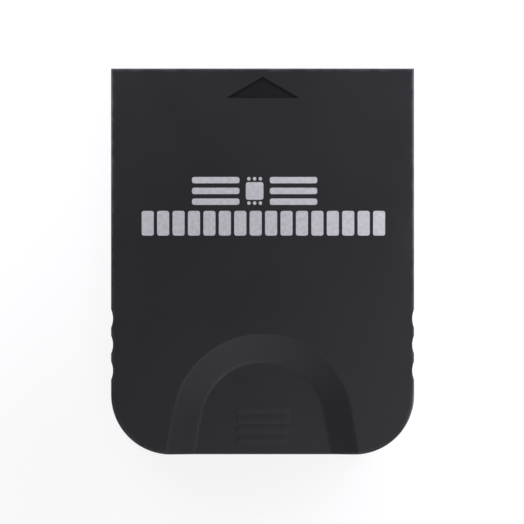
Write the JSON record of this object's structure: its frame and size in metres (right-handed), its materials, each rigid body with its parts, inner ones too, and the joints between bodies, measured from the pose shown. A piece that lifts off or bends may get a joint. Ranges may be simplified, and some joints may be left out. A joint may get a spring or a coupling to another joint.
{
  "type": "console memory card",
  "caption": "Flat plastic memory card for a games console, with an edge connector mouth, a thumb scoop with grip ridges, finger notches and a recessed arrow.",
  "frame": {"origin": "centre of the card in plan, on its flat back face", "axes": "+X to the right of the front face, +Y towards the connector end that the arrow points to, +Z out of the front face; the card lies on its back"},
  "size_m": [0.038, 0.0484, 0.0075],
  "materials": {
    "case_plastic": "charcoal black moulded plastic with a fine matte texture",
    "board_laminate": "green solder mask over glass fibre laminate",
    "contact_gold": "gold plated copper",
    "chip_resin": "moulded black epoxy",
    "lead_tin": "tinned metal",
    "capacitor_ceramic": "fired ceramic with tinned ends",
    "resistor_film": "black film on ceramic with tinned ends",
    "screw_steel": "plated steel",
    "print_ink": "pale grey screen print on the front face"
  },
  "bodies": {
    "root": {"front_shell": "case_plastic", "back_shell": "case_plastic", "circuit_board": "board_laminate", "flash_chip": "chip_resin", "controller_chip": "chip_resin", "flash_leads": "lead_tin", "controller_leads": "lead_tin", "case_screw": "screw_steel", "contact_01": "contact_gold", "contact_02": "contact_gold", "contact_03": "contact_gold", "contact_04": "contact_gold", "contact_05": "contact_gold", "contact_06": "contact_gold", "contact_07": "contact_gold", "contact_08": "contact_gold", "contact_09": "contact_gold", "contact_10": "contact_gold", "contact_11": "contact_gold", "contact_12": "contact_gold", "capacitor_1": "capacitor_ceramic", "capacitor_2": "capacitor_ceramic", "capacitor_3": "capacitor_ceramic", "capacitor_4": "capacitor_ceramic", "resistor_1": "resistor_film", "resistor_2": "resistor_film", "resistor_3": "resistor_film"}
  },
  "joints": []
}
